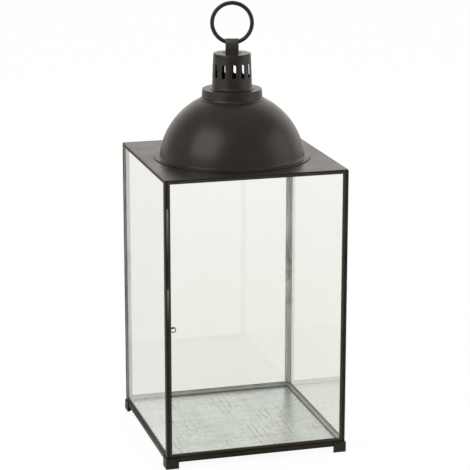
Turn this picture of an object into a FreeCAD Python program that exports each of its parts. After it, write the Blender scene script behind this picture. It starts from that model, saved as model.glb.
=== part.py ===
import FreeCAD, Part
import math
import os

# Square glass lantern with a domed roof, a slotted chimney, a carrying ring and a hinged front door.
# Millimetres. +Z is up, the door faces -Y, and the origin lies on the floor, midway between the feet.

# Box in plan
post_span = 247.0           # across the outer faces of the corner posts
post_sheet = 1.2
post_leg = 8.0              # leg of a post on the sides and the back
post_front_leg = 2.7        # narrow leg of a front post, beside the door

# Feet and base ring
foot_side = 17.5
foot_sheet = 1.5
foot_height = 14.0
base_bottom = 8.5
base_height = 7.0
base_sheet = 1.2
base_lower_flange = 10.0
base_upper_flange = 6.0

# Floor tray
tray_sheet = 0.8
tray_rim = 1.8
tray_play = 0.3             # gap between the tray's rim and the base rails

# Glass and the folded channels that grip it
glass = 2.0
glass_play = 0.1            # on each face of a pane in its channel
glass_bite = 0.7            # depth of the door's glass in its channels
pane_play = 0.2             # between a fixed pane and the posts and strips
pane_edge_play = 0.3        # beyond the edges of a fixed pane
channel_sheet = 0.7
channel_width = 3.4         # width that a stile, rail or sill shows
channel_groove = 0.8        # depth of the shadow line under a sill
top_channel_height = 4.0

# Galvanised strips and beads inside
strip_sheet = 0.8
strip_leg = 6.5
bead_rise = 2.0             # top of the sill beads above the base rails
bead_play = 0.3
liner_show = 0.6            # part of the latch liner that shows in the gap beside the door
liner_play = 0.1            # between that liner and the post

# Door
latch_gap = 1.0             # between the latch stile and its post
hinge_gap = 0.8             # between the hinge stile and its post
door_foot_gap = 0.6
door_head_gap = 0.3
door_stop_gap = 0.3         # between the closed door and the strips behind it
pivot_sheet = 0.5           # thickness of the front top rail
pivot_end_play = 0.2
pin_radius = 0.9
pin_bite = 8.0              # length of a hinge pin inside the stile
pin_end_play = 0.1
running_play = 0.05         # radial play of a pin or wire that turns in its hole
press_play = 0.02           # radial play of a pin or eyelet that is pressed in
washer_radius = 1.7
washer_play = 0.1

# Wire catch
catch_rise = 176.4          # axle of the catch above the door's lower edge
catch_wire = 1.2
catch_loop_radius = 3.4
catch_loop_reach = 4.1      # from the wire's axle to the middle of the loop
catch_loop_end = 150.0      # where the loop's free end stops, in degrees
catch_arm = 7.0
catch_face_gap = 0.3        # between the loop and the door's face
catch_clear = 0.3           # between the wire and the strip that it passes
eyelet_wall = 0.3

# Roof plate
post_length = 374.3
roof_sheet = 1.2
roof_inset = 0.3
roof_corner = 1.0
roof_edge = 0.5
roof_opening = 85.0

# Dome
dome_radius = 98.5
dome_sink = 11.0            # centre of the sphere below the roof plate's top
dome_sheet = 1.2
dome_mouth = 34.0
brim_radius = 105.8
brim_sheet = 1.3
brim_fillet = 1.6

# Neck collar
collar_foot_radius = 43.6
collar_lower_radius = 40.5
collar_upper_radius = 39.9
collar_rise = 3.8           # height of the curved foot over the dome
collar_height = 12.8        # from where the wall leaves the dome to the flat top
collar_sheet = 1.0
collar_edge = 1.2
collar_lip = 0.4
collar_hole = 26.6
collar_seat = 0.1           # solder film between the collar and the dome

# Chimney and its cap
chimney_height = 45.9
chimney_lower_radius = 26.7
chimney_upper_radius = 25.1
chimney_sheet = 1.0
chimney_foot_radius = 30.2
chimney_foot_rise = 4.2
chimney_lip = 0.5
slot_count = 13
slot_seam = 32.4            # wider pitch where the sheet's ends meet, in degrees
slot_seam_place = -115.85   # direction of that seam, in degrees from +X
slot_width = 5.4
slot_length = 19.0
slot_rise = 25.3            # middle of the slots above the chimney's foot
cap_sheet = 1.6
cap_edge = 1.2
cap_spigot = 4.0
cap_spigot_sheet = 1.0
cap_play = 0.1
cap_slot_length = 26.8
cap_slot_width = 6.6

# Hanger strap and carrying ring
strap_turn = -15.6          # direction of the strap's width, in degrees from +X
strap_width = 17.5
strap_sheet = 1.0
strap_gap = 4.0             # between the strap's two leaves where they pass the cap
strap_flare = 8.0           # lean of the leaves where they rise to the eye, in degrees
strap_foot = 9.0            # reach of each foot under the cap
strap_seat = 0.1
eye_rise = 14.4             # middle of the eye above the cap
eye_play = 0.3
ring_radius = 26.4
ring_wire = 5.4

vector = FreeCAD.Vector
origin = vector(0, 0, 0)
up = vector(0, 0, 1)
half = post_span / 2
quarter_turn = 90.0
full_turn = 360.0
same_point = 1e-6

# Heights that several pieces share
base_top = base_bottom + base_height
tray_seat = base_bottom + base_sheet
tray_top = tray_seat + tray_rim
sill_top = base_top + door_foot_gap + channel_width
sill_slot = base_top + door_foot_gap + channel_sheet
bead_top = base_top + bead_rise
roof_under = base_top + post_length
roof_top = roof_under + roof_sheet
top_channel_bottom = roof_under - top_channel_height
door_bottom = base_top + door_foot_gap
door_top = roof_under - pivot_sheet - door_head_gap
sphere_height = roof_top - dome_sink
collar_seat_radius = dome_radius + collar_seat
collar_wall_foot = sphere_height + math.sqrt(collar_seat_radius ** 2 - collar_lower_radius ** 2)
collar_top = collar_wall_foot + collar_height
chimney_top = collar_top + chimney_height
cap_top = chimney_top + cap_sheet
eye_height = cap_top + eye_rise
catch_height = door_bottom + catch_rise

# Depths behind the outer faces of the posts
channel_depth = glass + 2 * (glass_play + channel_sheet)
pane_depth = post_sheet + pane_play
side_set_back = pane_depth - glass_play - channel_sheet
side_channel_back = side_set_back + channel_depth
strip_depth = pane_depth + glass + pane_play
stop_depth = channel_depth + door_stop_gap
stop_back = stop_depth + strip_sheet
bead_depth = base_upper_flange + bead_play

# Door and catch positions
latch_edge = -half + post_front_leg + latch_gap
hinge_radius = channel_depth / 2
hinge_x = half - post_front_leg - hinge_gap - hinge_radius
hinge_y = -half + hinge_radius
hinge_edge = hinge_x + hinge_radius - channel_width
wire_radius = catch_wire / 2
catch_bend = catch_face_gap + wire_radius
eyelet_bore = wire_radius + running_play
eyelet_radius = eyelet_bore + eyelet_wall
catch_x = latch_edge + channel_sheet + press_play + eyelet_radius

sides = {"front": 0, "right": 1, "back": 2, "left": 3}
corners = {"front_left": (-1, -1), "front_right": (1, -1), "back_left": (-1, 1), "back_right": (1, 1)}
nodes = {}


def outline(start, *steps):
    """Closed wire in 3D: a step is a point for a line, or a middle and an end point for an arc."""
    edges = []
    here = start
    for step in steps:
        if isinstance(step, tuple):
            middle, there = step
            edges.append(Part.Arc(here, middle, there).toShape())
        else:
            there = step
            edges.append(Part.LineSegment(here, there).toShape())
        here = there
    if not here.isEqual(start, same_point):
        edges.append(Part.LineSegment(here, start).toShape())
    return Part.Wire(edges)


def box(low, high):
    """Box between its lowest and highest corners."""
    size = high - low
    return Part.makeBox(size.x, size.y, size.z, low)


def upright(plan, low, high):
    """Prism that stands on a plan outline of (x, y) points."""
    points = [vector(x, y, low) for x, y in plan]
    return Part.Face(outline(*points)).extrude(vector(0, 0, high - low))


def bar(section, start, end):
    """Bar along the front side, with a section of (depth, height) points."""
    points = [vector(start, -half + depth, height) for depth, height in section]
    return Part.Face(outline(*points)).extrude(vector(end - start, 0, 0))


def mitred(shape):
    """Cut a front bar along the diagonals of the plan, so that four of them make a ring."""
    reach = 2 * half
    wedge = upright([(-reach, -reach), (reach, -reach), (0, 0)], 0, roof_top)
    return shape.common(wedge)


def on_side(shape, side):
    """Turn a front piece to another side of the box."""
    turned = shape.copy()
    turned.rotate(origin, up, quarter_turn * sides[side])
    return turned


def at_corner(points, corner):
    """Plan points from (x, y) distances inside an outer corner of the box."""
    sign_x, sign_y = corners[corner]
    return [(sign_x * (half - a), sign_y * (half - b)) for a, b in points]


def turned_profile(start, *steps):
    """Solid of revolution about Z from a profile in (radius, height)."""
    def place(point):
        return vector(point[0], 0, point[1])

    placed = [tuple(place(p) for p in s) if isinstance(s[0], tuple) else place(s) for s in steps]
    return Part.Face(outline(place(start), *placed)).revolve(origin, up, full_turn)


def stadium(length, width, depth):
    """Round-ended slot along X, centred on the origin, that rises from -depth / 2 to depth / 2."""
    run = (length - width) / 2
    side = width / 2
    low = -depth / 2
    wire = outline(
        vector(-run, -side, low),
        vector(run, -side, low),
        (vector(run + side, 0, low), vector(run, side, low)),
        vector(-run, side, low),
        (vector(-run - side, 0, low), vector(-run, -side, low)),
    )
    return Part.Face(wire).extrude(vector(0, 0, depth))


def sphere_point(radius, outer):
    """Point at a radius from the axis on a sphere about the dome's centre."""
    return (radius, sphere_height + math.sqrt(outer ** 2 - radius ** 2))


def polar(centre, radius, degrees):
    """Point at an angle round a centre in (radius, height)."""
    angle = math.radians(degrees)
    return (centre[0] + radius * math.cos(angle), centre[1] + radius * math.sin(angle))


# Feet
def make_foot(corner):
    wall_end = foot_side - foot_sheet
    walls = [(-foot_sheet, -foot_sheet), (wall_end, -foot_sheet), (wall_end, 0),
             (0, 0), (0, wall_end), (-foot_sheet, wall_end)]
    sole = [(0, 0), (wall_end, 0), (0, wall_end)]
    shell = upright(at_corner(walls, corner), 0, foot_height)
    plate = upright(at_corner(sole, corner), 0, foot_sheet)
    return shell.fuse(plate).removeSplitter()


for corner in corners:
    nodes["foot_" + corner] = make_foot(corner)


# Base ring
def make_base_rail(side):
    section = [(0, base_bottom), (base_lower_flange, base_bottom), (base_lower_flange, tray_seat),
               (base_sheet, tray_seat), (base_sheet, base_top - base_sheet),
               (base_upper_flange, base_top - base_sheet), (base_upper_flange, base_top), (0, base_top)]
    rail = mitred(bar(section, -half, half))
    if side == "front":
        hole_foot = vector(hinge_x, hinge_y, base_top - base_sheet)
        rail = rail.cut(Part.makeCylinder(pin_radius + running_play, base_sheet, hole_foot))
    return on_side(rail, side)


for side in sides:
    nodes["base_rail_" + side] = make_base_rail(side)


# Floor tray with its turned-down rim
def make_tray():
    outer = half - base_sheet - tray_play
    inner = outer - tray_sheet
    block = box(vector(-outer, -outer, tray_seat), vector(outer, outer, tray_top))
    hollow = box(vector(-inner, -inner, tray_seat), vector(inner, inner, tray_top - tray_sheet))
    return block.cut(hollow)


nodes["floor_tray"] = make_tray()


# Corner posts
def make_post(corner):
    leg_x = post_front_leg if corner.startswith("front") else post_leg
    plan = [(0, 0), (leg_x, 0), (leg_x, post_sheet), (post_sheet, post_sheet),
            (post_sheet, post_leg), (0, post_leg)]
    return upright(at_corner(plan, corner), base_top, roof_under)


for corner in corners:
    nodes["corner_post_" + corner] = make_post(corner)


# Inner glazing strips: angles at the back, tees that also stop the door at the front
def make_back_strip(corner):
    outer = strip_depth
    inner = strip_depth + strip_sheet
    end = strip_depth + strip_leg
    plan = [(outer, outer), (end, outer), (end, inner), (inner, inner), (inner, end), (outer, end)]
    return upright(at_corner(plan, corner), sill_top, top_channel_bottom)


def make_front_strip(corner):
    stop_end = post_front_leg + latch_gap + channel_width - pane_play
    stop = [(pane_depth, stop_depth), (stop_end, stop_depth),
            (stop_end, stop_back), (pane_depth, stop_back)]
    web_end = strip_depth + strip_leg
    web = [(strip_depth, stop_back), (strip_depth + strip_sheet, stop_back),
           (strip_depth + strip_sheet, web_end), (strip_depth, web_end)]
    strip = upright(at_corner(stop, corner), base_top, roof_under - pivot_sheet)
    strip = strip.fuse(upright(at_corner(web, corner), sill_top, top_channel_bottom))
    return strip.removeSplitter()


def make_latch_liner():
    """Flat strip behind the front left post, which shows as a light line beside the door."""
    near = post_sheet + liner_play
    tip = post_front_leg + liner_show
    plan = [(near, near), (tip, near), (tip, near + strip_sheet), (near, near + strip_sheet)]
    return upright(at_corner(plan, "front_left"), base_top, roof_under - pivot_sheet)


def cut_catch_notch(strip):
    """Opening in the door stop that lets the catch's arm out when it lies flat."""
    reach = wire_radius + catch_clear
    low = vector(catch_x - reach, -half + stop_depth, catch_height - reach)
    high = vector(latch_edge + channel_width, -half + stop_back, catch_height + reach)
    return strip.cut(box(low, high))


nodes["glazing_strip_front_left"] = cut_catch_notch(make_front_strip("front_left"))
nodes["glazing_strip_front_right"] = make_front_strip("front_right")
nodes["glazing_strip_back_left"] = make_back_strip("back_left")
nodes["glazing_strip_back_right"] = make_back_strip("back_right")
nodes["latch_liner"] = make_latch_liner()


# Channels and beads of the three glazed sides
def make_sill_channel():
    front = side_set_back
    back = side_channel_back
    section = [(front + channel_groove, base_top), (back, base_top), (back, sill_top),
               (back - channel_sheet, sill_top), (back - channel_sheet, sill_slot),
               (front + channel_sheet, sill_slot), (front + channel_sheet, sill_top), (front, sill_top),
               (front, door_bottom), (front + channel_groove, door_bottom)]
    return bar(section, -half + post_leg, half - post_leg)


def make_top_channel():
    front = side_set_back
    back = side_channel_back
    web = roof_under - channel_sheet
    section = [(front, top_channel_bottom), (front + channel_sheet, top_channel_bottom),
               (front + channel_sheet, web), (back - channel_sheet, web),
               (back - channel_sheet, top_channel_bottom), (back, top_channel_bottom),
               (back, roof_under), (front, roof_under)]
    return bar(section, -half + post_leg, half - post_leg)


def make_sill_bead(side):
    front = side_channel_back + glass_play
    back = bead_depth + strip_sheet
    foot = tray_top + glass_play
    section = [(bead_depth, foot), (back, foot), (back, bead_top), (front, bead_top),
               (front, bead_top - strip_sheet), (bead_depth, bead_top - strip_sheet)]
    bead = on_side(mitred(bar(section, -half, half)), side)
    if side == "back":
        return bead
    front_end = box(vector(-half, -half, foot), vector(half, -half + bead_depth, bead_top))
    return bead.cut(front_end)


for side in ("left", "right", "back"):
    nodes["sill_channel_" + side] = on_side(make_sill_channel(), side)
    nodes["top_channel_" + side] = on_side(make_top_channel(), side)
    nodes["sill_bead_" + side] = make_sill_bead(side)


# Fixed panes
pane_bottom = sill_slot + glass_play
pane_top = roof_under - channel_sheet - glass_play
pane_outer = half - pane_depth
pane_inner = pane_outer - glass
pane_front = -half + stop_back + pane_play
pane_back = half - post_sheet - pane_edge_play
back_pane_end = pane_inner - pane_edge_play
nodes["pane_left"] = box(
    vector(-pane_outer, pane_front, pane_bottom),
    vector(-pane_inner, pane_back, pane_top),
)
nodes["pane_right"] = box(
    vector(pane_inner, pane_front, pane_bottom),
    vector(pane_outer, pane_back, pane_top),
)
nodes["pane_back"] = box(
    vector(-back_pane_end, pane_inner, pane_bottom),
    vector(back_pane_end, pane_outer, pane_top),
)


# Front top rail with the upper pivot hole
def make_front_top_rail():
    end = half - post_front_leg - pivot_end_play
    low = roof_under - pivot_sheet
    back = -half + base_upper_flange
    strip = box(vector(-end, -half + roof_inset, low), vector(end, back, roof_under))
    hole_foot = vector(hinge_x, hinge_y, low)
    return strip.cut(Part.makeCylinder(pin_radius + running_play, pivot_sheet, hole_foot))


nodes["top_rail_front"] = make_front_top_rail()


# Door frame
def make_latch_stile():
    left = latch_edge
    right = latch_edge + channel_width
    front = -half
    back = -half + channel_depth
    slot_left = left + channel_sheet
    slot_front = front + channel_sheet
    slot_back = back - channel_sheet
    plan = [(left, front), (right, front), (right, slot_front), (slot_left, slot_front),
            (slot_left, slot_back), (right, slot_back), (right, back), (left, back)]
    stile = upright(plan, door_bottom, door_top)
    axle = vector(catch_x, front, catch_height)
    return stile.cut(Part.makeCylinder(eyelet_radius + press_play, channel_depth, axle, vector(0, 1, 0)))


def make_hinge_stile():
    front = hinge_y - hinge_radius
    back = hinge_y + hinge_radius
    groove = glass / 2 + glass_play
    groove_end = hinge_edge + glass_bite + glass_play
    points = [(hinge_edge, back), (hinge_edge, hinge_y + groove), (groove_end, hinge_y + groove),
              (groove_end, hinge_y - groove), (hinge_edge, hinge_y - groove),
              (hinge_edge, front), (hinge_x, front)]
    placed = [vector(x, y, door_bottom) for x, y in points]
    nose = (vector(hinge_x + hinge_radius, hinge_y, door_bottom), vector(hinge_x, back, door_bottom))
    stile = Part.Face(outline(*placed, nose)).extrude(vector(0, 0, door_top - door_bottom))
    bore = pin_radius + press_play
    upper = Part.makeCylinder(bore, pin_bite, vector(hinge_x, hinge_y, door_top - pin_bite))
    lower = Part.makeCylinder(bore, pin_bite, vector(hinge_x, hinge_y, door_bottom))
    return stile.cut(upper).cut(lower)


def make_door_rail(outer, slot_sign):
    """Rail from its outer edge's height, with its slot on the upper (1) or the lower (-1) side."""
    mouth = outer + slot_sign * channel_width
    floor = outer + slot_sign * channel_sheet
    back = channel_depth
    slot_back = back - channel_sheet
    section = [(0, outer), (back, outer), (back, mouth), (slot_back, mouth),
               (slot_back, floor), (channel_sheet, floor), (channel_sheet, mouth), (0, mouth)]
    return bar(section, latch_edge + channel_width, hinge_edge)


nodes["door_stile_latch"] = make_latch_stile()
nodes["door_stile_hinge"] = make_hinge_stile()
nodes["door_rail_bottom"] = make_door_rail(door_bottom, 1)
nodes["door_rail_top"] = make_door_rail(door_top, -1)

glass_inset = channel_width - glass_bite
door_glass_front = -half + channel_sheet + glass_play
nodes["door_glass"] = box(
    vector(latch_edge + glass_inset, door_glass_front, door_bottom + glass_inset),
    vector(hinge_edge + glass_bite, door_glass_front + glass, door_top - glass_inset),
)


# Door pivots
def make_pin(low, high):
    return Part.makeCylinder(pin_radius, high - low, vector(hinge_x, hinge_y, low))


nodes["hinge_pin_top"] = make_pin(door_top - pin_bite, roof_under - pin_end_play)
nodes["hinge_pin_bottom"] = make_pin(base_top - base_sheet + pin_end_play, door_bottom + pin_bite)

washer_height = door_foot_gap - washer_play
washer_foot = vector(hinge_x, hinge_y, base_top)
washer_hole = Part.makeCylinder(pin_radius + running_play, washer_height, washer_foot)
nodes["hinge_washer"] = Part.makeCylinder(washer_radius, washer_height, washer_foot).cut(washer_hole)


# Wire catch: a finger loop in front, an axle through the stile and a flat arm behind the door stop
def right_angle(corner, incoming, outgoing, radius):
    """Start, middle and end of a right-angle bend about a corner of a wire's path."""
    start = corner - incoming * radius
    end = corner + outgoing * radius
    centre = start + outgoing * radius
    return start, centre + (corner - centre).normalize() * radius, end


def make_catch():
    loop_y = -half - catch_face_gap - wire_radius
    arm_y = -half + stop_back + catch_clear + wire_radius
    tangent = math.asin(catch_loop_radius / catch_loop_reach)
    run = catch_loop_reach * math.cos(tangent)
    towards = vector(math.cos(tangent), 0, -math.sin(tangent))
    inward = vector(0, -1, 0)
    back_corner = vector(catch_x, arm_y, catch_height)
    front_corner = vector(catch_x, loop_y, catch_height)
    back_bend = right_angle(back_corner, vector(-1, 0, 0), inward, catch_bend)
    front_bend = right_angle(front_corner, inward, towards, catch_bend)
    loop_middle = (catch_x + catch_loop_reach, catch_height)
    loop_start = front_corner + towards * run
    start_angle = full_turn - quarter_turn - math.degrees(tangent)
    end_angle = catch_loop_end + full_turn

    def on_loop(degrees):
        x, z = polar(loop_middle, catch_loop_radius, degrees)
        return vector(x, loop_y, z)

    tip = back_corner + vector(catch_arm, 0, 0)
    loop_arc = Part.Arc(loop_start, on_loop((start_angle + end_angle) / 2), on_loop(end_angle))
    edges = [
        Part.LineSegment(tip, back_bend[0]).toShape(),
        Part.Arc(*back_bend).toShape(),
        Part.LineSegment(back_bend[2], front_bend[0]).toShape(),
        Part.Arc(*front_bend).toShape(),
        Part.LineSegment(front_bend[2], loop_start).toShape(),
        loop_arc.toShape(),
    ]
    ring = Part.Wire(Part.Circle(tip, vector(-1, 0, 0), wire_radius).toShape())
    return Part.Wire(edges).makePipeShell([ring], True, False)


nodes["catch_wire"] = make_catch()


def make_eyelet():
    foot = vector(catch_x, -half, catch_height)
    along = vector(0, 1, 0)
    tube = Part.makeCylinder(eyelet_radius, channel_depth, foot, along)
    return tube.cut(Part.makeCylinder(eyelet_bore, channel_depth, foot, along))


nodes["catch_eyelet"] = make_eyelet()


# Roof plate with softened edges and the opening under the dome
def make_roof_plate():
    reach = half - roof_inset
    plate = box(vector(-reach, -reach, roof_under), vector(reach, reach, roof_top))
    uprights = [e for e in plate.Edges if e.BoundBox.ZLength > roof_sheet / 2]
    plate = plate.makeFillet(roof_corner, uprights)
    rims = [e for e in plate.Edges if e.BoundBox.ZLength < roof_sheet / 2]
    plate = plate.makeFillet(min(roof_edge, roof_sheet / 2 - press_play), rims)
    return plate.cut(Part.makeCylinder(roof_opening, roof_sheet, vector(0, 0, roof_under)))


nodes["roof_plate"] = make_roof_plate()


# Dome: a spherical shell with a fillet down to a flat brim
def make_dome():
    centre = (0, sphere_height)
    inner = dome_radius - dome_sheet
    brim_top = roof_top + brim_sheet
    edge = brim_sheet / 2
    fillet_height = brim_top + brim_fillet - sphere_height
    fillet_x = math.sqrt((dome_radius + brim_fillet) ** 2 - fillet_height ** 2)
    fillet = (fillet_x, brim_top + brim_fillet)
    slope = math.degrees(math.atan2(fillet_height, fillet_x))
    shoulder = polar(centre, dome_radius, slope)
    fillet_middle = polar(fillet, brim_fillet, (slope + 2 * quarter_turn + 3 * quarter_turn) / 2)
    mouth_outer = sphere_point(dome_mouth, dome_radius)
    mouth_inner = sphere_point(dome_mouth, inner)
    mouth_angle = math.degrees(math.acos(dome_mouth / dome_radius))
    base_angle = math.degrees(math.asin(dome_sink / inner))
    base_inner = polar(centre, inner, base_angle)
    return turned_profile(
        base_inner,
        (brim_radius - edge, roof_top),
        ((brim_radius, roof_top + edge), (brim_radius - edge, brim_top)),
        (fillet_x, brim_top),
        (fillet_middle, shoulder),
        (polar(centre, dome_radius, (slope + mouth_angle) / 2), mouth_outer),
        mouth_inner,
        (polar(centre, inner, (base_angle + mouth_angle) / 2), base_inner),
    )


nodes["dome"] = make_dome()


# Neck collar: a drawn cup with a curved foot on the dome and a hole in its flat top
def make_collar():
    seat = collar_seat_radius
    inner = collar_lower_radius - collar_sheet
    foot = sphere_point(collar_foot_radius, seat)
    lip = (foot[0], foot[1] + collar_lip)
    waist = (collar_lower_radius, collar_wall_foot + collar_rise)
    bulge = (waist[0] + (lip[0] - waist[0]) * (1 - math.cos(math.radians(quarter_turn / 2))),
             lip[1] + (waist[1] - lip[1]) * (1 - math.sin(math.radians(quarter_turn / 2))))
    edge_middle = (collar_upper_radius - collar_edge, collar_top - collar_edge)
    under = collar_top - collar_sheet
    seat_inner = sphere_point(inner, seat)
    seat_middle = sphere_point((inner + collar_foot_radius) / 2, seat)
    return turned_profile(
        foot,
        lip,
        (bulge, waist),
        (collar_upper_radius, collar_top - collar_edge),
        (polar(edge_middle, collar_edge, quarter_turn / 2), (edge_middle[0], collar_top)),
        (collar_hole, collar_top),
        (collar_hole, under),
        (collar_upper_radius - collar_sheet, under),
        seat_inner,
        (seat_middle, foot),
    )


nodes["neck_collar"] = make_collar()


# Chimney: a slightly tapered tube with a flared foot and a ring of slots
def make_chimney():
    flare_top = collar_top + chimney_foot_rise
    lip_top = collar_top + chimney_lip
    spread = chimney_foot_radius - chimney_lower_radius
    bulge = (chimney_lower_radius + spread * (1 - math.cos(math.radians(quarter_turn / 2))),
             lip_top + (flare_top - lip_top) * (1 - math.sin(math.radians(quarter_turn / 2))))
    tube = turned_profile(
        (chimney_lower_radius - chimney_sheet, collar_top),
        (chimney_foot_radius, collar_top),
        (chimney_foot_radius, lip_top),
        (bulge, (chimney_lower_radius, flare_top)),
        (chimney_upper_radius, chimney_top),
        (chimney_upper_radius - chimney_sheet, chimney_top),
    )
    pitch = (full_turn - slot_seam) / (slot_count - 1)
    cutter = stadium(slot_length, slot_width, chimney_lower_radius)
    cutter.rotate(origin, vector(0, 1, 0), quarter_turn)
    cutter.translate(vector(chimney_lower_radius, 0, collar_top + slot_rise))
    for index in range(slot_count):
        slot = cutter.copy()
        slot.rotate(origin, up, slot_seam_place + slot_seam / 2 + index * pitch)
        tube = tube.cut(slot)
    return tube


nodes["chimney"] = make_chimney()


# Chimney cap: a flat disc with a spigot inside the tube and a slot for the strap
def make_cap():
    spigot_outer = chimney_upper_radius - chimney_sheet - cap_play
    spigot_inner = spigot_outer - cap_spigot_sheet
    edge = (chimney_upper_radius - cap_edge, cap_top - cap_edge)
    disc = turned_profile(
        (0, chimney_top),
        (spigot_inner, chimney_top),
        (spigot_inner, chimney_top - cap_spigot),
        (spigot_outer, chimney_top - cap_spigot),
        (spigot_outer, chimney_top),
        (chimney_upper_radius, chimney_top),
        (chimney_upper_radius, cap_top - cap_edge),
        (polar(edge, cap_edge, quarter_turn / 2), (edge[0], cap_top)),
        (0, cap_top),
    )
    slot = stadium(cap_slot_length, cap_slot_width, 2 * cap_sheet)
    slot.rotate(origin, up, strap_turn)
    slot.translate(vector(0, 0, chimney_top + cap_sheet / 2))
    return disc.cut(slot)


nodes["chimney_cap"] = make_cap()


# Carrying ring, which hangs in the strap's eye and stands up in it
sagitta = ring_radius - math.sqrt(ring_radius ** 2 - (strap_width / 2) ** 2)
ring_lean = math.asin(strap_width / 2 / ring_radius)
eye_radius = sagitta / 2 + ring_wire / 2 / math.cos(ring_lean) + eye_play
ring_height = eye_height - sagitta / 2 + ring_radius


def make_ring():
    ring = Part.makeTorus(ring_radius, ring_wire / 2, vector(0, 0, ring_height), vector(0, 1, 0))
    ring.rotate(origin, up, strap_turn)
    return ring


nodes["carry_ring"] = make_ring()


# Hanger strap: one sheet folded over the ring, drawn in below it and spread under the cap
def make_strap():
    inner_face = strap_gap / 2
    outer_face = inner_face + strap_sheet
    outer_eye = eye_radius + strap_sheet
    foot_top = chimney_top - strap_seat
    foot_bottom = foot_top - strap_sheet
    flare = math.radians(strap_flare)

    def pinch(face, radius):
        return eye_height - (radius - face * math.cos(flare)) / math.sin(flare)

    def tangent(radius, sign):
        return vector(0, sign * radius * math.cos(flare), eye_height - radius * math.sin(flare))

    def place(depth, height):
        return vector(0, depth, height)

    wire = outline(
        place(strap_foot, foot_bottom),
        place(strap_foot, foot_top),
        place(outer_face, foot_top),
        place(outer_face, pinch(outer_face, outer_eye)),
        tangent(outer_eye, 1),
        (place(0, eye_height + outer_eye), tangent(outer_eye, -1)),
        place(-outer_face, pinch(outer_face, outer_eye)),
        place(-outer_face, foot_top),
        place(-strap_foot, foot_top),
        place(-strap_foot, foot_bottom),
        place(-inner_face, foot_bottom),
        place(-inner_face, pinch(inner_face, eye_radius)),
        tangent(eye_radius, -1),
        (place(0, eye_height + eye_radius), tangent(eye_radius, 1)),
        place(inner_face, pinch(inner_face, eye_radius)),
        place(inner_face, foot_bottom),
    )
    strap = Part.Face(wire).extrude(vector(strap_width, 0, 0))
    strap.translate(vector(-strap_width / 2, 0, 0))
    strap.rotate(origin, up, strap_turn)
    return strap


nodes["hanger_strap"] = make_strap()

os.makedirs("parts", exist_ok=True)
for name, shape in nodes.items():
    shape.exportStep("parts/" + name + ".step")
    print(name, len(shape.Solids), shape.isValid(), round(shape.Volume, 2))
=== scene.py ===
import math

import bmesh
import bpy
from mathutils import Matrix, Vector


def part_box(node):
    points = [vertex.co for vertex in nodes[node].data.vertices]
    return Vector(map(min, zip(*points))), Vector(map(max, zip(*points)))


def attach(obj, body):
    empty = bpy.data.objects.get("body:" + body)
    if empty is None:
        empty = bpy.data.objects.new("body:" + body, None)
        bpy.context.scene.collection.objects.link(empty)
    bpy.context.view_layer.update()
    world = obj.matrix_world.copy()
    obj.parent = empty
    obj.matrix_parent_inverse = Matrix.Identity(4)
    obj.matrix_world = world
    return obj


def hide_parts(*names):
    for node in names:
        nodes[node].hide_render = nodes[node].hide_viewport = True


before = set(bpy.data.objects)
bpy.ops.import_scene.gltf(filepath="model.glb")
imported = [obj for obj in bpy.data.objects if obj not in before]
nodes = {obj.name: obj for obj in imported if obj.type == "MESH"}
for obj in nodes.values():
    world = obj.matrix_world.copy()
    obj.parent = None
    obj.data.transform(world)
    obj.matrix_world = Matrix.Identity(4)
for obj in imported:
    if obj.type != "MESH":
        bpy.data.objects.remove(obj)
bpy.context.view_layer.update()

# Sizes of the dressed pieces: lengths in metres, the angle in radians
MM = 0.001
EDGE_BREAK = 0.2 * MM
EDGE_ANGLE = math.radians(40)
WELD_REACH = 0.005 * MM
TRAY_RISE = 2.5 * MM
TRAY_OVERLAP = 0.2 * MM
BEAD_PLAY = 0.15 * MM
DOOR_PLAY = 0.4 * MM

# Painted highlight along the gap beside the latch: start, full brightness, end and strength of each length
LATCH_GAP_X = -120.3 * MM
HIGHLIGHT_HALF_WIDTH = (0.85 * MM, 1.05 * MM)
HIGHLIGHT_FRONT = (-100.0 * MM, -110.0 * MM)
HIGHLIGHT_END = 1.0 * MM
HIGHLIGHT_LENGTHS = (
    (292.0 * MM, 350.0 * MM, 354.0 * MM, 1.0),
    (204.0 * MM, 242.0 * MM, 247.5 * MM, 0.8),
)

# Painted shade line round the box, between the base rails and the door or sills above them
SHADE_LINE_HEIGHT = 15.8 * MM
SHADE_LINE_HALF_WIDTH = (0.7 * MM, 1.1 * MM)

# Heights between which the zinc pieces are painted dark as shade, or stained
STRIP_SHADE_MARKS = ((10.5 * MM, 12.7 * MM),)
CURB_SHADE_MARKS = ((13.0 * MM, 15.4 * MM),)
LINER_SHADE_MARKS = ((0.0, 202.0 * MM), (247.5 * MM, 290.0 * MM), (354.0 * MM, 400.0 * MM))
SHADE_FADE = 0.5 * MM
STAIN_START = (120.0 * MM, 150.0 * MM)
STAIN_END = (230.0 * MM, 242.0 * MM)

# Distance from the tray's middle over which painted shade gathers at its edges, and heights over which the
# glass clears
EDGE_SHADE_REACH = (114.0 * MM, 116.6 * MM)
CAST_HEIGHTS = (100.0 * MM, 400.0 * MM)

# Sockets of the colour mixing node
MIX_SHARE, MIX_FIRST, MIX_SECOND, MIX_RESULT = 0, 6, 7, 2


# Shader helpers
def start_material(name):
    mat = bpy.data.materials.new(name)
    mat.use_nodes = True
    mat.node_tree.nodes.clear()
    return mat, mat.node_tree


def feed(tree, socket, value):
    if isinstance(value, bpy.types.NodeSocket):
        tree.links.new(value, socket)
    else:
        socket.default_value = value


def add(tree, kind, inputs=None, **settings):
    node = tree.nodes.new("ShaderNode" + kind)
    for key, value in settings.items():
        setattr(node, key, value)
    for key, value in (inputs or {}).items():
        feed(tree, node.inputs[key], value)
    return node


def maths(tree, operation, a, b=0.0):
    return add(tree, "Math", {0: a, 1: b}, operation=operation).outputs[0]


def spread(tree, value, low, high, to_low=0.0, to_high=1.0):
    inputs = {"Value": value, "From Min": low, "From Max": high, "To Min": to_low, "To Max": to_high}
    return add(tree, "MapRange", inputs, clamp=True).outputs[0]


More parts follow.
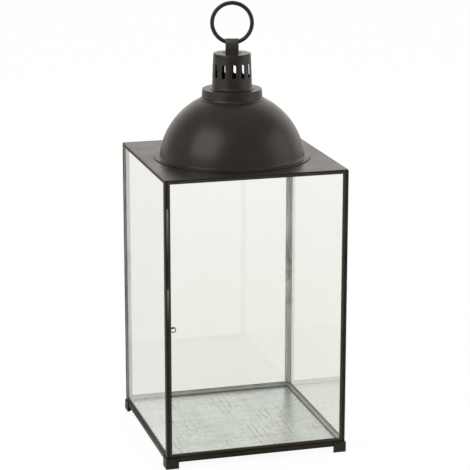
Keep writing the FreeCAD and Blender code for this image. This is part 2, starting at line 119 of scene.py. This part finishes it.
def along(tree, vector, direction):
    return add(tree, "VectorMath", {0: vector, 1: direction}, operation="DOT_PRODUCT").outputs["Value"]


def object_place(tree):
    return add(tree, "TexCoord").outputs["Object"]


def axes_of(tree, vector):
    return add(tree, "SeparateXYZ", {0: vector}).outputs


def blend_colour(tree, share, first, second):
    node = add(tree, "Mix", data_type="RGBA")
    feed(tree, node.inputs[MIX_SHARE], share)
    for index, colour in ((MIX_FIRST, first), (MIX_SECOND, second)):
        feed(tree, node.inputs[index], (*colour, 1.0) if isinstance(colour, tuple) else colour)
    return node.outputs[MIX_RESULT]


def noise(tree, vector, scale, detail=3.0, roughness=0.55):
    inputs = {"Vector": vector, "Scale": scale, "Detail": detail, "Roughness": roughness}
    return add(tree, "TexNoise", inputs).outputs[0]


def spangle(tree, vector, scale):
    cells = add(tree, "TexVoronoi", {"Vector": vector, "Scale": scale})
    return add(tree, "SeparateColor", {0: cells.outputs["Color"]}).outputs[0]


def stretched(tree, vector, factors):
    return add(tree, "Mapping", {"Vector": vector, "Scale": factors}).outputs[0]


def bump(tree, height, strength, distance, before=None):
    inputs = {"Height": height, "Strength": strength, "Distance": distance}
    if before is not None:
        inputs["Normal"] = before
    return add(tree, "Bump", inputs).outputs[0]


def close(tree, shader):
    out = add(tree, "OutputMaterial")
    tree.links.new(shader, out.inputs["Surface"])


def close_metal(tree, colour, roughness, normal, metallic):
    inputs = {"Base Color": colour, "Roughness": roughness, "Normal": normal, "Metallic": metallic}
    close(tree, add(tree, "BsdfPrincipled", inputs).outputs[0])


def tinted(tone, colour):
    return tuple(share * value for share, value in zip(tone, colour))


def lifted(lift, colour):
    return tuple(lift * value for value in colour)


# Two lengths of painted highlight along the gap between the front left post and the door
def latch_gap_highlight(tree, place):
    x, y, z = axes_of(tree, place)
    across = maths(tree, "ABSOLUTE", maths(tree, "SUBTRACT", x, LATCH_GAP_X))
    band = spread(tree, across, *HIGHLIGHT_HALF_WIDTH, 1.0, 0.0)
    front = spread(tree, y, *HIGHLIGHT_FRONT)
    lengths = []
    for start, full, end, strength in HIGHLIGHT_LENGTHS:
        rise = spread(tree, z, start, full, 0.0, strength)
        fall = spread(tree, z, end - HIGHLIGHT_END, end, 1.0, 0.0)
        lengths.append(maths(tree, "MULTIPLY", rise, fall))
    return maths(tree, "MULTIPLY", maths(tree, "MULTIPLY", band, front), maths(tree, "ADD", *lengths))


# Share of the painted shade line above the base rails
def base_shade_line(tree, place):
    height = axes_of(tree, place)[2]
    away = maths(tree, "ABSOLUTE", maths(tree, "SUBTRACT", height, SHADE_LINE_HEIGHT))
    return spread(tree, away, *SHADE_LINE_HALF_WIDTH, 0.9, 0.0)


# Share of the paint that is rubbed off at the edges
def edge_rub(tree, place, normal):
    soft = add(tree, "Bevel", {"Radius": 0.7 * MM}, samples=4).outputs[0]
    edge = spread(tree, along(tree, soft, normal), 0.985, 0.80)
    patchy = spread(tree, noise(tree, place, scale=95.0, detail=4.0), 0.36, 0.66, 0.1, 0.35)
    return maths(tree, "MULTIPLY", edge, patchy)


# Satin bronze paint: dark brown, cloudy, faint orange peel, rubbed edges and a little dust on top; on
# request a painted highlight along the latch gap and a painted shade line above the base rails
def bronze_paint(name, tone, roughness, shine=0.5, painted_light=False):
    dark = tinted(tone, (0.0160, 0.0122, 0.0082))
    pale = tinted(tone, (0.0265, 0.0210, 0.0146))
    speckled = tinted(tone, (0.050, 0.041, 0.030))
    rubbed = tinted(tone, (0.070, 0.056, 0.041))
    dusty = (0.17, 0.145, 0.115)
    highlight_tone = (0.78, 0.76, 0.67)
    shaded = (0.004, 0.0034, 0.0026)
    mat, tree = start_material(name)
    place = object_place(tree)
    normal = add(tree, "NewGeometry").outputs["Normal"]
    cloud = noise(tree, place, scale=24.0, detail=4.0)
    fleck = noise(tree, place, scale=310.0, roughness=0.6)
    peel = noise(tree, place, scale=520.0, detail=2.0)
    colour = blend_colour(tree, spread(tree, cloud, 0.3, 0.72), dark, pale)
    colour = blend_colour(tree, spread(tree, fleck, 0.62, 0.74, 0.0, 0.35), colour, speckled)
    colour = blend_colour(tree, edge_rub(tree, place, normal), colour, rubbed)
    level = spread(tree, axes_of(tree, normal)[2], 0.75, 1.0)
    dust = maths(tree, "MULTIPLY", level, spread(tree, cloud, 0.4, 0.7, 0.02, 0.10))
    colour = blend_colour(tree, dust, colour, dusty)
    if painted_light:
        # Painted highlight along the latch gap: light caught on the post's bent edge, painted as pale bare
        # metal
        colour = blend_colour(tree, latch_gap_highlight(tree, place), colour, highlight_tone)
        # Painted shade line where the base rails meet the door and sills
        colour = blend_colour(tree, base_shade_line(tree, place), colour, shaded)
    rough = spread(tree, cloud, 0.3, 0.7, roughness - 0.05, roughness + 0.06)
    rough = maths(tree, "ADD", rough, spread(tree, fleck, 0.35, 0.65, -0.03, 0.03))
    shape = bump(tree, peel, 0.07, 0.10 * MM)
    shape = bump(tree, fleck, 0.04, 0.08 * MM, shape)
    bsdf = add(tree, "BsdfPrincipled", {"Base Color": colour, "Roughness": rough, "Normal": shape,
                                        "Metallic": 0.0, "IOR": 1.5, "Specular IOR Level": shine})
    close(tree, bsdf.outputs[0])
    return mat


# Share of the scratches from front to back: broken drawn lines, and fine hairs where the zinc is pale
def tray_scratches(tree, place, haze):
    drawn = stretched(tree, place, (1.0, 0.30, 1.0))
    waves = add(tree, "TexWave", {"Vector": drawn, "Scale": 36.0, "Distortion": 4.5, "Detail": 4.0,
                                  "Detail Scale": 2.2, "Detail Roughness": 0.6},
                wave_type="BANDS", bands_direction="X").outputs["Fac"]
    breaks = noise(tree, stretched(tree, place, (1.0, 0.45, 1.0)), scale=44.0)
    lines = maths(tree, "MULTIPLY", spread(tree, waves, 0.970, 0.998), spread(tree, breaks, 0.50, 0.62))
    fine = noise(tree, stretched(tree, place, (1.0, 0.03, 1.0)), scale=520.0, detail=2.0, roughness=0.5)
    pale = spread(tree, haze, 0.45, 0.60, 0.0, 0.5)
    hairs = maths(tree, "MULTIPLY", spread(tree, fine, 0.66, 0.72), pale)
    return maths(tree, "MAXIMUM", lines, hairs)


# Galvanised floor tray: mottled spangle, hazy stains, scratches and painted shade along its edges
def galvanised_tray():
    dull, clean = (0.70, 0.80, 0.865), (0.86, 0.94, 0.985)
    cell_tone, mottle_tone, band_tone = (0.86, 0.91, 0.91), (0.48, 0.545, 0.56), (0.48, 0.545, 0.55)
    cross_pale, cross_dark = (0.88, 0.92, 0.92), (0.47, 0.53, 0.535)
    scratched, edge_shade_tone = (0.15, 0.165, 0.16), (0.12, 0.125, 0.115)
    cell_warp = 0.012
    mat, tree = start_material("galvanised_tray")
    place = object_place(tree)
    x, y, _ = axes_of(tree, place)
    warp = add(tree, "TexNoise", {"Vector": place, "Scale": 60.0, "Detail": 4.0}).outputs[1]
    bent = add(tree, "MixRGB", {0: cell_warp, 1: place, 2: warp}).outputs[0]
    cells = spangle(tree, bent, 120.0)
    haze = noise(tree, place, scale=11.0, detail=6.0, roughness=0.65)
    mottle = noise(tree, place, scale=120.0, detail=5.0, roughness=0.7)
    bands = noise(tree, stretched(tree, place, (1.0, 0.10, 1.0)), scale=60.0, detail=4.0)
    cross = noise(tree, stretched(tree, place, (0.10, 1.0, 1.0)), scale=75.0, detail=4.0, roughness=0.65)
    colour = blend_colour(tree, spread(tree, haze, 0.3, 0.7), dull, clean)
    colour = blend_colour(tree, spread(tree, cells, 0.0, 1.0, 0.0, 0.28), colour, cell_tone)
    colour = blend_colour(tree, spread(tree, mottle, 0.50, 0.68, 0.0, 0.55), colour, mottle_tone)
    colour = blend_colour(tree, spread(tree, bands, 0.48, 0.72, 0.0, 0.32), colour, band_tone)
    colour = blend_colour(tree, spread(tree, cross, 0.52, 0.66, 0.0, 0.55), colour, cross_pale)
    colour = blend_colour(tree, spread(tree, cross, 0.45, 0.33, 0.0, 0.50), colour, cross_dark)
    marks = tray_scratches(tree, place, haze)
    colour = blend_colour(tree, maths(tree, "MULTIPLY", marks, 0.72), colour, scratched)
    # Painted shade along the edges, where the beads and sills stand over the tray
    far = maths(tree, "MAXIMUM", maths(tree, "ABSOLUTE", x), maths(tree, "ABSOLUTE", y))
    patchy = spread(tree, mottle, 0.3, 0.6, 0.25, 0.7)
    edge_shade = maths(tree, "MULTIPLY", spread(tree, far, *EDGE_SHADE_REACH), patchy)
    colour = blend_colour(tree, edge_shade, colour, edge_shade_tone)
    rough = spread(tree, haze, 0.3, 0.7, 0.24, 0.34)
    rough = maths(tree, "ADD", rough, maths(tree, "MULTIPLY", marks, 0.2))
    shape = bump(tree, noise(tree, place, scale=70.0, detail=4.0), 0.10, 0.5 * MM)
    shape = bump(tree, maths(tree, "SUBTRACT", 1.0, marks), 0.25, 0.1 * MM, shape)
    close_metal(tree, colour, rough, shape, metallic=0.8)
    return mat


# Dull galvanised strip: spangled, streaked along its height, stained, and painted dark as shade within its
# marks
def galvanised_strip(name, lift, metallic, marks, shade_colour):
    dark, pale = lifted(lift, (0.50, 0.515, 0.475)), lifted(lift, (0.66, 0.675, 0.635))
    cell_tone, stain_tone = (0.70, 0.72, 0.70), (0.20, 0.21, 0.18)
    streak_tone = lifted(lift, (0.25, 0.26, 0.24))
    shade_strength = 0.85
    mat, tree = start_material(name)
    place = object_place(tree)
    height = axes_of(tree, place)[2]
    cells = spangle(tree, place, 140.0)
    streak = noise(tree, stretched(tree, place, (1.0, 1.0, 0.06)), scale=240.0)
    haze = noise(tree, place, scale=22.0, detail=4.0)
    colour = blend_colour(tree, spread(tree, haze, 0.3, 0.7), dark, pale)
    colour = blend_colour(tree, spread(tree, cells, 0.0, 1.0, 0.0, 0.25), colour, cell_tone)
    colour = blend_colour(tree, spread(tree, streak, 0.5, 0.7, 0.0, 0.4), colour, streak_tone)
    patch = noise(tree, stretched(tree, place, (1.0, 1.0, 0.5)), scale=130.0, detail=4.0, roughness=0.6)
    patch = spread(tree, patch, 0.44, 0.60, 0.0, 0.55)
    rise = spread(tree, height, *STAIN_START)
    fall = spread(tree, height, *STAIN_END, 1.0, 0.0)
    stain = maths(tree, "MULTIPLY", patch, maths(tree, "MULTIPLY", rise, fall))
    colour = blend_colour(tree, stain, colour, stain_tone)
    # Painted shade between the given heights
    for low, high in marks:
        rise = spread(tree, height, low - SHADE_FADE, low + SHADE_FADE)
        fall = spread(tree, height, high - SHADE_FADE, high + SHADE_FADE, 1.0, 0.0)
        share = maths(tree, "MULTIPLY", maths(tree, "MULTIPLY", rise, fall), shade_strength)
        colour = blend_colour(tree, share, colour, shade_colour)
    rough = spread(tree, streak, 0.3, 0.7, 0.30, 0.46)
    close_metal(tree, colour, rough, bump(tree, streak, 0.10, 0.1 * MM), metallic)
    return mat


# Dark drawn wire with fine marks
def wire_steel():
    dark, pale = (0.045, 0.040, 0.034), (0.09, 0.082, 0.07)
    mat, tree = start_material("wire_steel")
    place = object_place(tree)
    marks = noise(tree, place, scale=700.0)
    haze = noise(tree, place, scale=90.0)
    colour = blend_colour(tree, spread(tree, haze, 0.3, 0.7), dark, pale)
    rough = spread(tree, marks, 0.3, 0.7, 0.32, 0.48)
    close_metal(tree, colour, rough, bump(tree, marks, 0.10, 0.05 * MM), metallic=0.7)
    return mat


# Clear float glass with a slight cast and faint smears; light passes through it to what is inside
def clear_glass():
    cast_low, cast_high = (0.919, 0.921, 0.880), (0.962, 0.966, 0.955)
    passing = (0.93, 0.94, 0.925, 1.0)
    mat, tree = start_material("glass")
    place = object_place(tree)
    smear = noise(tree, stretched(tree, place, (1.0, 1.0, 0.3)), scale=14.0, detail=4.0)
    rough = spread(tree, smear, 0.5, 0.8, 0.0, 0.03)
    ripple = bump(tree, noise(tree, place, scale=6.0, detail=2.0), 0.02, 0.5 * MM)
    tint = blend_colour(tree, spread(tree, axes_of(tree, place)[2], *CAST_HEIGHTS), cast_low, cast_high)
    glass = add(tree, "BsdfPrincipled", {"Base Color": tint, "Roughness": rough, "Normal": ripple,
                                         "IOR": 1.5, "Transmission Weight": 1.0})
    clear = add(tree, "BsdfTransparent", {"Color": passing})
    path = add(tree, "LightPath").outputs
    skip = maths(tree, "MAXIMUM", path["Is Shadow Ray"], path["Is Diffuse Ray"])
    mixed = add(tree, "MixShader", {0: skip, 1: glass.outputs[0], 2: clear.outputs[0]})
    close(tree, mixed.outputs[0])
    return mat


roof_paint = bronze_paint("bronze_paint", (1.25, 1.25, 1.25), roughness=0.29)
tray_zinc = galvanised_tray()
# The glazing strips are painted dark as shade where they meet the tray
strip_zinc = galvanised_strip("galvanised_strip", 1.3, 0.6, STRIP_SHADE_MARKS, (0.055, 0.054, 0.046))
wire = wire_steel()
glass = clear_glass()
# The curb round the tray has a painted shade line along the floor
curb_zinc = galvanised_strip("galvanised_curb", 1.1, 0.45, CURB_SHADE_MARKS, (0.05, 0.05, 0.045))
# The latch liner is painted dark as shade but for two bright lengths, a painted highlight in the gap, and
# is painted lighter than the other zinc
liner_zinc = galvanised_strip("galvanised_liner", 1.45, 0.2, LINER_SHADE_MARKS, (0.022, 0.018, 0.013))
# The frame, strap and door take lighter copies of the roof's bronze paint: painted light on the pieces
# that face the dim front
frame_paint_lightened = bronze_paint("bronze_paint_frame", (2.00, 2.28, 2.15), roughness=0.50, shine=0.22, painted_light=True)
strap_paint_lightened = bronze_paint("bronze_paint_strap", (3.00, 3.35, 3.40), roughness=0.34, shine=1.0)
door_paint_lightened = bronze_paint("bronze_paint_door", (3.20, 3.60, 3.40), roughness=0.45, shine=0.30, painted_light=True)

# Slot and finish by the start of a piece's name; the first row that fits counts, and the last fits all
FRAME_PIECES = ("foot_", "base_rail", "corner_post", "sill_channel", "top_channel", "top_rail")
FAMILIES = (
    (("floor_tray",), "galvanised_tray", tray_zinc),
    (("glazing_strip",), "galvanised_strip", strip_zinc),
    (("sill_bead",), "galvanised_strip", curb_zinc),
    (("latch_liner",), "galvanised_strip", liner_zinc),
    (("pane_", "door_glass"), "glass", glass),
    (("hinge_", "catch_"), "wire_steel", wire),
    (FRAME_PIECES, "bronze_paint", frame_paint_lightened),
    (("door_",), "bronze_paint", door_paint_lightened),
    (("hanger_strap",), "bronze_paint", strap_paint_lightened),
    (("",), "bronze_paint", roof_paint),
)
BARE_INSIDE = ("corner_post_back", "sill_channel")


def dress(piece, name):
    slot, finish = next(row[1:] for row in FAMILIES if name.startswith(row[0]))
    piece.data.materials.clear()
    piece.data.materials.append(finish)
    for polygon in piece.data.polygons:
        polygon.material_index = 0


# The paint covers the outside only, so upright faces of the sheet that look inward stay bare zinc
def bare_inside(piece):
    upright, facing = 0.9, 0.1
    piece.data.materials.append(curb_zinc)
    for polygon in piece.data.polygons:
        inward = -Vector((polygon.center.x, polygon.center.y, 0.0))
        leading = max(abs(polygon.normal.x), abs(polygon.normal.y))
        if leading > upright and polygon.normal.dot(inward) > facing:
            polygon.material_index = 1


# Edges of the pieces are broken a little, as on folded sheet
def soften(piece):
    weld = piece.modifiers.new("weld", "WELD")
    weld.merge_threshold = WELD_REACH
    bevel = piece.modifiers.new("bevel", "BEVEL")
    bevel.width = EDGE_BREAK
    bevel.segments = 2
    bevel.limit_method = "ANGLE"
    bevel.angle_limit = EDGE_ANGLE
    bevel.use_clamp_overlap = True
    bevel.harden_normals = False
    bevel.miter_outer = "MITER_ARC"


# The tray's floor is pressed up a little between the beads
def raised_tray():
    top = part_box("floor_tray")[1].z
    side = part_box("sill_bead_right")[0].x - BEAD_PLAY
    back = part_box("sill_bead_back")[0].y - BEAD_PLAY
    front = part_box("door_rail_bottom")[1].y + DOOR_PLAY
    shape = bmesh.new()
    shape.from_mesh(nodes["floor_tray"].data)
    corners = bmesh.ops.create_cube(shape, size=1.0)["verts"]
    for corner in corners:
        corner.co.x = side if corner.co.x > 0 else -side
        corner.co.y = back if corner.co.y > 0 else front
        corner.co.z = top + (TRAY_RISE if corner.co.z > 0 else -TRAY_OVERLAP)
    mesh = bpy.data.meshes.new("floor_tray_pressed")
    shape.to_mesh(mesh)
    shape.free()
    piece = bpy.data.objects.new("floor_tray_pressed", mesh)
    bpy.context.scene.collection.objects.link(piece)
    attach(piece, "lantern_frame")
    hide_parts("floor_tray")
    return piece


for name in sorted(nodes):
    piece = raised_tray() if name == "floor_tray" else nodes[name]
    dress(piece, name)
    if name.startswith(BARE_INSIDE):
        bare_inside(piece)
    soften(piece)


# Floor shader that is lit by the lamps and glows by itself
def lit_and_glowing(tree, albedo, glow):
    lit = add(tree, "BsdfDiffuse", {"Color": (albedo, albedo, albedo, 1.0)})
    shine = add(tree, "Emission", {"Color": (1.0, 1.0, 1.0, 1.0), "Strength": glow})
    return add(tree, "AddShader", {0: lit.outputs[0], 1: shine.outputs[0]}).outputs[0]


# Glow of the floor in reflections: half bright behind the object, bright at its sides, dim in front
def mirrored_glow(tree):
    to_front = (-0.098, -0.995, 0.0)
    place = add(tree, "NewGeometry").outputs["Position"]
    way = add(tree, "VectorMath", {0: place}, operation="NORMALIZE").outputs["Vector"]
    ahead = along(tree, way, to_front)
    sides = spread(tree, ahead, -0.3, 0.3, 0.58, 0.92)
    dimmed = spread(tree, ahead, 0.62, 0.96, 0.0, 0.85)
    return maths(tree, "SUBTRACT", sides, dimmed)


# Floor: white to the eye, with the object's own soft shadow left on it
def make_floor():
    reach = 14.0
    plain_albedo, mirrored_albedo, seen_albedo, seen_glow = 0.42, 0.20, 0.13, 0.925
    mesh = bpy.data.meshes.new("floor")
    mesh.from_pydata([(-reach, -reach, 0), (reach, -reach, 0), (reach, reach, 0), (-reach, reach, 0)],
                     [], [(0, 1, 2, 3)])
    floor = bpy.data.objects.new("floor", mesh)
    bpy.context.scene.collection.objects.link(floor)
    mat, tree = start_material("floor")
    path = add(tree, "LightPath").outputs
    plain = add(tree, "BsdfDiffuse", {"Color": (plain_albedo, plain_albedo, plain_albedo, 1.0)}).outputs[0]
    mirrored = lit_and_glowing(tree, mirrored_albedo, mirrored_glow(tree))
    white = lit_and_glowing(tree, seen_albedo, seen_glow)
    unseen = add(tree, "MixShader", {0: path["Is Glossy Ray"], 1: plain, 2: mirrored}).outputs[0]
    seen = maths(tree, "MAXIMUM", path["Is Camera Ray"], path["Is Transmission Ray"])
    close(tree, add(tree, "MixShader", {0: seen, 1: unseen, 2: white}).outputs[0])
    mesh.materials.append(mat)


# World: a warm white studio, brighter behind the object than on the side of the camera
def make_world():
    warm_white = (1.0, 0.955, 0.905, 1.0)
    to_back = (0.42, 0.91, 0.0)
    world = bpy.data.worlds.new("studio")
    bpy.context.scene.world = world
    world.use_nodes = True
    tree = world.node_tree
    tree.nodes.clear()
    behind = along(tree, add(tree, "TexCoord").outputs["Generated"], to_back)
    room = spread(tree, behind, -0.6, 0.1, 0.43, 0.45)
    back_wall = spread(tree, behind, 0.40, 0.85, 0.0, 0.67)
    level = maths(tree, "ADD", room, back_wall)
    backdrop = add(tree, "Background", {"Color": warm_white, "Strength": level})
    out = add(tree, "OutputWorld")
    tree.links.new(backdrop.outputs[0], out.inputs["Surface"])


# Soft square lamp, turned to the object
def lamp(name, place, size, power):
    aim = Vector((0.0, 0.0, 0.40))
    data = bpy.data.lights.new(name, "AREA")
    data.shape = "RECTANGLE"
    data.size = size
    data.size_y = size
    data.energy = power
    obj = bpy.data.objects.new(name, data)
    obj.location = place
    obj.rotation_euler = (aim - Vector(place)).to_track_quat("-Z", "Y").to_euler()
    bpy.context.scene.collection.objects.link(obj)


# Camera at the angle of the photograph
def make_camera():
    azimuth, elevation = math.radians(-15.617), math.radians(14.72)
    distance = 2.6147
    target = Vector((0.0, 0.0, 0.2790))
    back = Vector((math.sin(azimuth) * math.cos(elevation), -math.cos(azimuth) * math.cos(elevation),
                   math.sin(elevation)))
    data = bpy.data.cameras.new("camera")
    data.sensor_width = 36.0
    data.lens = 147.23
    data.shift_x = 0.0063
    data.shift_y = 0.0019
    camera = bpy.data.objects.new("camera", data)
    camera.location = target + distance * back
    camera.rotation_euler = back.to_track_quat("Z", "Y").to_euler()
    bpy.context.scene.collection.objects.link(camera)
    bpy.context.scene.camera = camera


make_floor()
make_world()
lamp("key", place=(-1.77, -0.82, 1.81), size=1.8, power=17.0)
lamp("fill", place=(2.3, -0.7, 1.2), size=1.6, power=6.0)
make_camera()
bpy.context.scene.view_settings.view_transform = "Standard"
